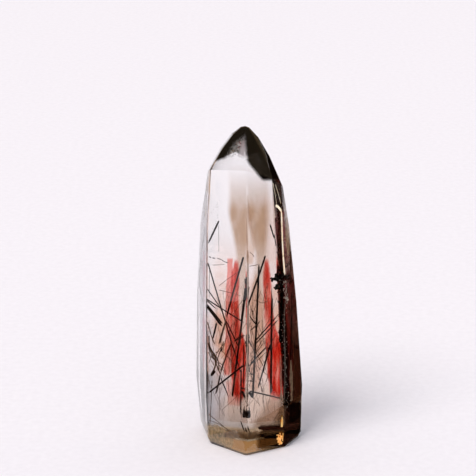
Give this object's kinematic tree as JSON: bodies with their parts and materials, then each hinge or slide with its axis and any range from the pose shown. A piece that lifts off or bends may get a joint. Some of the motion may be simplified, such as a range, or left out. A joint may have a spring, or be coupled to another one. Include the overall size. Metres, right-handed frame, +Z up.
{
  "type": "rutilated quartz point",
  "caption": "Polished point of clear to smoky quartz that stands on its cut base, with dark needles and a thin red film sealed inside.",
  "frame": {"origin": "middle of the cut base, on the surface that the point stands on", "axes": "+Z up along the point towards its tip, -Y towards the side that the picture shows, +X to the right of that view"},
  "size_m": [0.0227, 0.0197, 0.07],
  "materials": {
    "quartz": "polished clear to light smoky quartz, index of refraction 1.544",
    "needle": "dark brown to black mineral needle, half gloss",
    "red_film": "granular translucent red iron oxide film"
  },
  "bodies": {
    "root": {"quartz_front": "quartz", "quartz_back": "quartz", "red_film": "red_film", "needle_top_left": "needle", "needle_left_long": "needle", "needle_left_short": "needle", "needle_left_crossing": "needle", "needle_left_grey": "needle", "needle_left_thick": "needle", "needle_left_stub": "needle", "needle_left_brown": "needle", "needle_left_steep": "needle", "needle_left_bend_top": "needle", "needle_left_bend_foot": "needle", "needle_left_fork": "needle", "needle_left_blob": "needle", "needle_middle_long": "needle", "needle_middle_tall": "needle", "needle_middle_hook": "needle", "needle_long_diagonal": "needle", "needle_lower_upright": "needle", "needle_spike": "needle", "needle_base": "needle", "needle_diagonal_right": "needle", "needle_lower_crossing": "needle", "needle_lower_left_end": "needle", "needle_corner_crossing": "needle", "needle_ladder_left": "needle", "needle_ladder_foot": "needle", "needle_right_main": "needle", "needle_right_top": "needle", "needle_right_rising": "needle", "needle_right_rising_low": "needle", "needle_star_down": "needle", "needle_star_up": "needle", "needle_right_slant": "needle", "needle_corner_cluster": "needle", "needle_corner_spur": "needle", "needle_corner_upper": "needle", "needle_corner_lower": "needle", "needle_back_rising": "needle", "needle_back_upright": "needle", "needle_back_right": "needle"}
  },
  "joints": []
}
